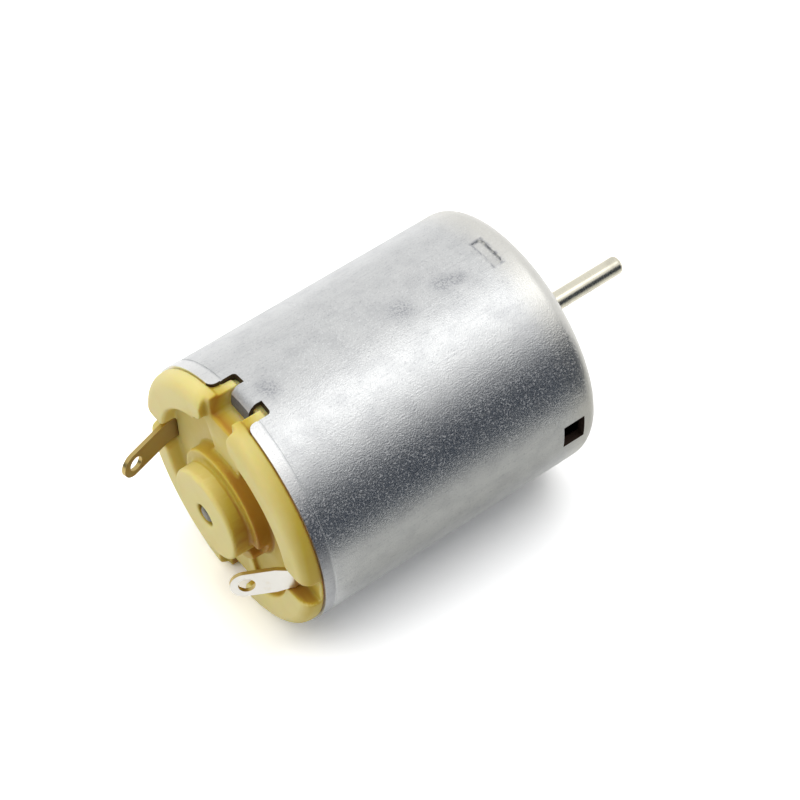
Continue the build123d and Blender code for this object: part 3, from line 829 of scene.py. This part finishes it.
def mark_amber_shade(mesh):
    """Gives each point its share of painted amber shade: closed-in faces and faces turned from the lit side
    show more.
    """
    blockers = [mesh] + [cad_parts[name].data for name in ("can", "terminal_left", "terminal_right")]
    points, faces = [], []
    for blocker in blockers:
        first = len(points)
        points.extend(vertex.co for vertex in blocker.vertices)
        faces.extend([first + index for index in face.vertices] for face in blocker.polygons)
    tree = BVHTree.FromPolygons(points, faces)
    outlooks = []
    for step in range(OUTLOOKS):
        share, turn = (step + 0.5) / OUTLOOKS, step * GOLDEN_TURN
        flat = math.sqrt(share)
        outlooks.append(Vector((flat * math.cos(turn), flat * math.sin(turn), math.sqrt(1 - share))))
    amber_shade = mesh.attributes.new("amber_shade", "FLOAT", "POINT")
    for vertex in mesh.vertices:
        if vertex.co.x > HIDDEN_FROM:
            continue
        lean = vertex.normal.to_track_quat("Z", "Y")
        eye = vertex.co + vertex.normal * OUTLOOK_LIFT
        closed = sum(tree.ray_cast(eye, lean @ way, OUTLOOK_REACH)[0] is not None for way in outlooks)
        # Painted shade from closeness and from turning away from LIT_SIDE
        turned = (1 - vertex.normal.dot(LIT_SIDE)) / 2
        share = HOLLOW_SHADE * max(0.0, closed / OUTLOOKS - OPEN_SHARE)
        share += min(TURNED_MOST, TURNED_SHADE * max(0.0, turned - OPEN_TURN))
        away = math.hypot(vertex.co.y, vertex.co.z)
        if STEP_INNER < away < STEP_OUTER and vertex.co.x > RIM_X - STEP_RISE:
            share += STEP_SHADE
        # Painted light: faces turned down take less shade, as if lit through the plastic from above
        share *= 1 - UNDERSIDE_LIGHT * max(0.0, -vertex.normal.z)
        # Painted shade: more towards -Y, away from the light
        share *= 1 - SIDE_SHADE * vertex.co.y / CAN_RADIUS
        sunk = min(1.0, max(0.0, (vertex.co.x - RIM_X) / WALL_RISE + 1))
        pocket = math.hypot(vertex.co.y, abs(vertex.co.z) - POCKET_MIDDLE)
        share += POCKET_SHADE * sunk * max(0.0, 1 - pocket / POCKET_REACH)
        amber_shade.data[vertex.index].value = min(1.0, share)


class MOTOR_OT_lugs(bpy.types.Operator):
    """The two solder lugs, tinned on their faces and bare brass on their sheared edges"""

    bl_idname = "motor.lugs"
    bl_label = "Solder lugs"

    def execute(self, context):
        sizes, colours = context.scene.motor_sizes, context.scene.motor_colours
        tin = new_finish("tinned_brass", tinned_brass, colours)
        for node in ("terminal_left", "terminal_right"):
            piece = copy_of(node, node + "_body")
            mark_cut_edges(piece.data)
            round_edges(piece, sizes.sheet_edge)
            place_piece(piece, "housing", "terminal_brass", tin, node)
        return {"FINISHED"}


def mark_cut_edges(mesh):
    """Marks the faces of a lug's outer tab that were sheared, and not rolled, with 1."""
    tab = [face for face in mesh.polygons if face.center.x < CAP_REAR]
    flat = max(tab, key=lambda face: face.area).normal
    cut = mesh.attributes.new("cut_edge", "FLOAT", "FACE")
    for face in mesh.polygons:
        sheared = face.center.x < RIM_X and abs(face.normal.dot(flat)) < LUG_FACE_MOST
        cut.data[face.index].value = 1.0 if sheared else 0.0


class MOTOR_OT_turned(bpy.types.Operator):
    """The shaft, the bushes, the spacer and the washers"""

    bl_idname = "motor.turned"
    bl_label = "Shaft and bushes"

    def execute(self, context):
        sizes, colours = context.scene.motor_sizes, context.scene.motor_colours
        steel = new_finish("ground_steel", ground_shaft, colours.steel, roughness=0.2)
        bronze = new_finish("sintered_bronze", pressed_powder, colours.bronze, metallic=1.0, roughness=0.35)
        nylon = new_finish("nylon", plain_moulding, colours.nylon, roughness=0.4)
        rounded_nodes(["shaft"], sizes.sheet_edge, "rotor", "shaft_steel", steel)
        rounded_nodes(["front_bearing", "rear_bearing"], sizes.block_edge, "housing", "bearing_bronze",
                      bronze)
        rounded_nodes(["front_spacer", "front_washer", "rear_washer"], sizes.sheet_edge, "rotor",
                      "washer_nylon", nylon)
        return {"FINISHED"}


class MOTOR_OT_magnets(bpy.types.Operator):
    """The two magnets and the clips that spread them"""

    bl_idname = "motor.magnets"
    bl_label = "Magnets and clips"

    def execute(self, context):
        sizes, colours = context.scene.motor_sizes, context.scene.motor_colours
        ferrite = new_finish("ferrite", pressed_powder, colours.ferrite, metallic=0.0, roughness=0.45)
        spring = new_finish("blued_spring", sheet_metal, colours.spring, roughness=0.3)
        rounded_nodes(["magnet_upper", "magnet_lower"], sizes.block_edge, "housing", "magnet_ferrite",
                      ferrite)
        rounded_nodes(["magnet_clip_left", "magnet_clip_right"], sizes.sheet_edge, "housing",
                      "spring_steel", spring)
        return {"FINISHED"}


class MOTOR_OT_brushes(bpy.types.Operator):
    """The carbon brushes on their leaf springs"""

    bl_idname = "motor.brushes"
    bl_label = "Brushes"

    def execute(self, context):
        sizes, colours = context.scene.motor_sizes, context.scene.motor_colours
        leaf = new_finish("leaf_bronze", sheet_metal, colours.bronze, roughness=0.22)
        carbon = new_finish("carbon", pressed_powder, colours.carbon, metallic=0.2, roughness=0.4)
        for side in ("left", "right"):
            body = side + "_brush_unit"
            rounded_nodes(["brush_arm_" + side], sizes.sheet_edge, body, "leaf_bronze", leaf)
            rounded_nodes(["brush_" + side], sizes.block_edge, body, "brush_carbon", carbon)
        return {"FINISHED"}


class MOTOR_OT_core(bpy.types.Operator):
    """The rotor's stacked sheets and the insulation on their ends"""

    bl_idname = "motor.core"
    bl_label = "Core"

    def execute(self, context):
        sizes, colours = context.scene.motor_sizes, context.scene.motor_colours
        low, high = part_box("lamination_stack")
        sheet = new_finish("electrical_sheet", turned_metal, colours.core, roughness=0.35)
        board = new_finish("insulation_board", plain_moulding, colours.board, roughness=0.5)
        piece = copy_of("lamination_stack", "core_sheets")
        keep_end_face(piece.data, low.x)
        grow(piece, stack_tree(), {
            "Sheet": sizes.core_sheet, "Gap": sizes.core_gap, "Length": high.x - low.x, "Material": sheet})
        place_piece(piece, "rotor", "core_steel", sheet, "lamination_stack")
        rounded_nodes(["insulator_front", "insulator_rear"], sizes.sheet_edge, "rotor",
                      "insulator_plastic", board)
        return {"FINISHED"}


def keep_end_face(mesh, x):
    """Leaves only the flat face of a mesh that lies across the shaft at x."""
    work = bmesh.new()
    work.from_mesh(mesh)
    away = [face for face in work.faces if any(abs(v.co.x - x) > MERGE_DISTANCE for v in face.verts)]
    bmesh.ops.delete(work, geom=away, context="FACES")
    work.to_mesh(mesh)
    work.free()


class MOTOR_OT_windings(bpy.types.Operator):
    """The three coils, each one wire wound in layers round its pole"""

    bl_idname = "motor.windings"
    bl_label = "Windings"

    def execute(self, context):
        sizes, colours = context.scene.motor_sizes, context.scene.motor_colours
        enamel = new_finish("enamelled_wire", enamelled_wire, colours)
        low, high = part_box("winding_1")
        rear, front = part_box("insulator_rear")[0].x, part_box("insulator_front")[1].x
        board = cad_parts["insulator_rear"].data.vertices
        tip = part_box("insulator_rear")[1].z
        arm = max(abs(v.co.y) for v in board if v.co.z > tip - sizes.wire)
        half_length = (front - rear) / 2 + sizes.wire_clearance
        half_width = arm + sizes.wire_clearance
        depth = sizes.wire * sizes.wire_layers
        reach = max(math.hypot(v.co.y, v.co.z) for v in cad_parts["winding_1"].data.vertices)
        tree = coil_tree()
        for pole in range(POLES):
            node = f"winding_{pole + 1}"
            piece = link_piece(node + "_wire", bpy.data.meshes.new(node + "_wire"))
            grow(piece, tree, {
                "Middle": (low.x + high.x) / 2, "Half length": half_length, "Half width": half_width,
                "Foot": low.z, "Reach": reach, "Wire": sizes.wire,
                "Bulge": ((high.x - low.x) / 2 - half_length) / depth,
                "Layers": sizes.wire_layers, "Turns": sizes.wire_turns,
                "Pole angle": pole * math.tau / POLES, "Material": enamel})
            place_piece(piece, "rotor", "winding_copper", enamel, node)
        return {"FINISHED"}


class MOTOR_OT_commutator(bpy.types.Operator):
    """The commutator's moulded hub, ring and copper segments"""

    bl_idname = "motor.commutator"
    bl_label = "Commutator"

    def execute(self, context):
        sizes, colours = context.scene.motor_sizes, context.scene.motor_colours
        moulding = new_finish("commutator_moulding", plain_moulding, colours.moulding, roughness=0.4)
        copper = new_finish("bare_copper", turned_metal, colours.copper, roughness=0.2)
        segments = [f"commutator_segment_{pole + 1}" for pole in range(POLES)]
        rounded_nodes(["commutator_hub", "commutator_ring"], sizes.sheet_edge, "rotor",
                      "commutator_moulding", moulding)
        rounded_nodes(segments, sizes.sheet_edge, "rotor", "segment_copper", copper)
        return {"FINISHED"}


class MOTOR_OT_stage(bpy.types.Operator):
    """The floor, the cards, the lights, the sky and the camera"""

    bl_idname = "motor.stage"
    bl_label = "Stage"

    def execute(self, context):
        scene, stage = context.scene, context.scene.motor_stage
        scene.view_settings.view_transform = "Standard"
        floor = add_panel("floor", FLOOR_SIZE, FLOOR_SIZE, Vector(), UP)
        floor.data.materials.append(floor_finish(stage))
        dark = new_finish("dark_card", plain_moulding, stage.card, roughness=CARD_ROUGHNESS)
        grey = new_finish("grey_card", plain_moulding, stage.grey_card, roughness=CARD_ROUGHNESS)
        card = add_mirrored("dark_card", dark, *DARK_CARD)
        rear = add_mirrored("rear_card", dark, *REAR_CARD)
        apron = add_mirrored("dark_apron", dark, *DARK_APRON)
        near = add_mirrored("grey_apron", grey, *GREY_APRON)
        card.visible_diffuse = card.visible_shadow = True
        main = add_softbox("main_softbox", MAIN_WAY, WIDE_LIGHT, stage.main_light)
        left = add_softbox("left_softbox", LEFT_WAY, WIDE_LIGHT, stage.left_light)
        main.visible_glossy = left.visible_glossy = False
        add_softbox("top_softbox", TOP_WAY, NARROW_LIGHT, stage.top_light)
        set_sky(scene, stage)
        set_camera(scene, stage)
        return {"FINISHED"}


def add_panel(name, width, height, place, normal):
    """A flat stage panel, square to its normal, at a place from the middle of the stage."""
    turn = normal.to_track_quat("Z", "Y")
    corners = [STAGE_MIDDLE + place + turn @ Vector((x * width / 2, y * height / 2, 0))
               for x, y in ((-1, -1), (1, -1), (1, 1), (-1, 1))]
    mesh = bpy.data.meshes.new(name)
    mesh.from_pydata(corners, [], [(0, 1, 2, 3)])
    return link_piece(name, mesh)


def add_mirrored(name, material, width, height, place, normal):
    """A stage panel that only reflections show."""
    panel = add_panel(name, width, height, place, normal)
    panel.data.materials.append(material)
    panel.visible_camera = panel.visible_diffuse = panel.visible_shadow = False
    return panel


def seen_directly(wire, mirrored):
    """1 for rays that show the stage straight or through glass, and a share for mirrored rays."""
    path = wire.node("ShaderNodeLightPath").socket.node
    camera, glossy, through = (Wire(wire.tree, path.outputs[name])
                               for name in ("Is Camera Ray", "Is Glossy Ray", "Is Transmission Ray"))
    return (camera + through + mirrored * glossy).limited(0.0, 1.0)


def floor_finish(stage):
    """A plain floor, paler where it is seen, so that it reads as white and still keeps the shadow."""
    material = bpy.data.materials.new("floor")
    wire = emptied(material)
    tone = stage.floor * (1 + stage.floor_lift * seen_directly(wire, MIRRORED_FLOOR))
    matt = wire.node("ShaderNodeBsdfDiffuse", None, {"Color": tone})
    wire.node("ShaderNodeOutputMaterial", None, {"Surface": matt})
    return material


def set_sky(scene, stage):
    """White where the sky is seen, and an even, softer light where it only lights."""
    world = bpy.data.worlds.new("studio")
    scene.world = world
    wire = emptied(world)
    seen = seen_directly(wire, mirrored=1.0)
    sky = wire.node("ShaderNodeBackground", None, {"Strength": stage.sky + (1 - stage.sky) * seen})
    wire.node("ShaderNodeOutputWorld", None, {"Surface": sky})


def add_softbox(name, direction, size, power):
    """A square soft light that faces the motor."""
    light = bpy.data.lights.new(name, "AREA")
    light.shape = "SQUARE"
    light.size = size
    light.energy = power
    lamp = link_piece(name, light)
    lamp.location = STAGE_MIDDLE + CAN_RADIUS * UP + direction.normalized() * LIGHT_DISTANCE
    lamp.rotation_mode = "QUATERNION"
    lamp.rotation_quaternion = direction.to_track_quat("Z", "Y")
    return lamp


def set_camera(scene, stage):
    """A camera at the viewing angle, on a square picture."""
    back = Vector((math.sin(stage.azimuth) * math.cos(stage.elevation),
                   -math.cos(stage.azimuth) * math.cos(stage.elevation), math.sin(stage.elevation)))
    lens = bpy.data.cameras.new("camera")
    lens.sensor_width = PICTURE_SIDE
    lens.lens = stage.lens
    lens.clip_start = NEAREST_SEEN
    camera = link_piece("camera", lens)
    camera.location = Vector(stage.aim) + back * stage.distance
    camera.rotation_mode = "QUATERNION"
    camera.rotation_quaternion = back.to_track_quat("Z", "Y") @ Quaternion((0, 0, 1), stage.roll)
    scene.camera = camera


OPERATORS = (
    MOTOR_OT_can, MOTOR_OT_end_cap, MOTOR_OT_lugs, MOTOR_OT_turned, MOTOR_OT_magnets, MOTOR_OT_brushes,
    MOTOR_OT_core, MOTOR_OT_windings, MOTOR_OT_commutator, MOTOR_OT_stage)


class MOTOR_PT_panel(bpy.types.Panel):
    """Lists the motor's pieces, sizes and colours"""

    bl_idname = "MOTOR_PT_panel"
    bl_label = "DC motor"
    bl_space_type = "VIEW_3D"
    bl_region_type = "UI"
    bl_category = "Motor"

    def draw(self, context):
        for operator in OPERATORS:
            self.layout.operator(operator.bl_idname)
        for group in (context.scene.motor_sizes, context.scene.motor_colours, context.scene.motor_stage):
            for name in group.__annotations__:
                self.layout.prop(group, name)


CLASSES = (MotorSizes, MotorColours, MotorStage, *OPERATORS, MOTOR_PT_panel)


def register():
    for item in CLASSES:
        bpy.utils.register_class(item)
    bpy.types.Scene.motor_sizes = PointerProperty(type=MotorSizes)
    bpy.types.Scene.motor_colours = PointerProperty(type=MotorColours)
    bpy.types.Scene.motor_stage = PointerProperty(type=MotorStage)


def unregister():
    del bpy.types.Scene.motor_stage
    del bpy.types.Scene.motor_colours
    del bpy.types.Scene.motor_sizes
    for item in reversed(CLASSES):
        bpy.utils.unregister_class(item)


def main():
    """Builds every piece and the stage."""
    register()
    for operator in OPERATORS:
        group, name = operator.bl_idname.split(".")
        getattr(getattr(bpy.ops, group), name)()
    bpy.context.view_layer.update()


if __name__ == "__main__":
    main()
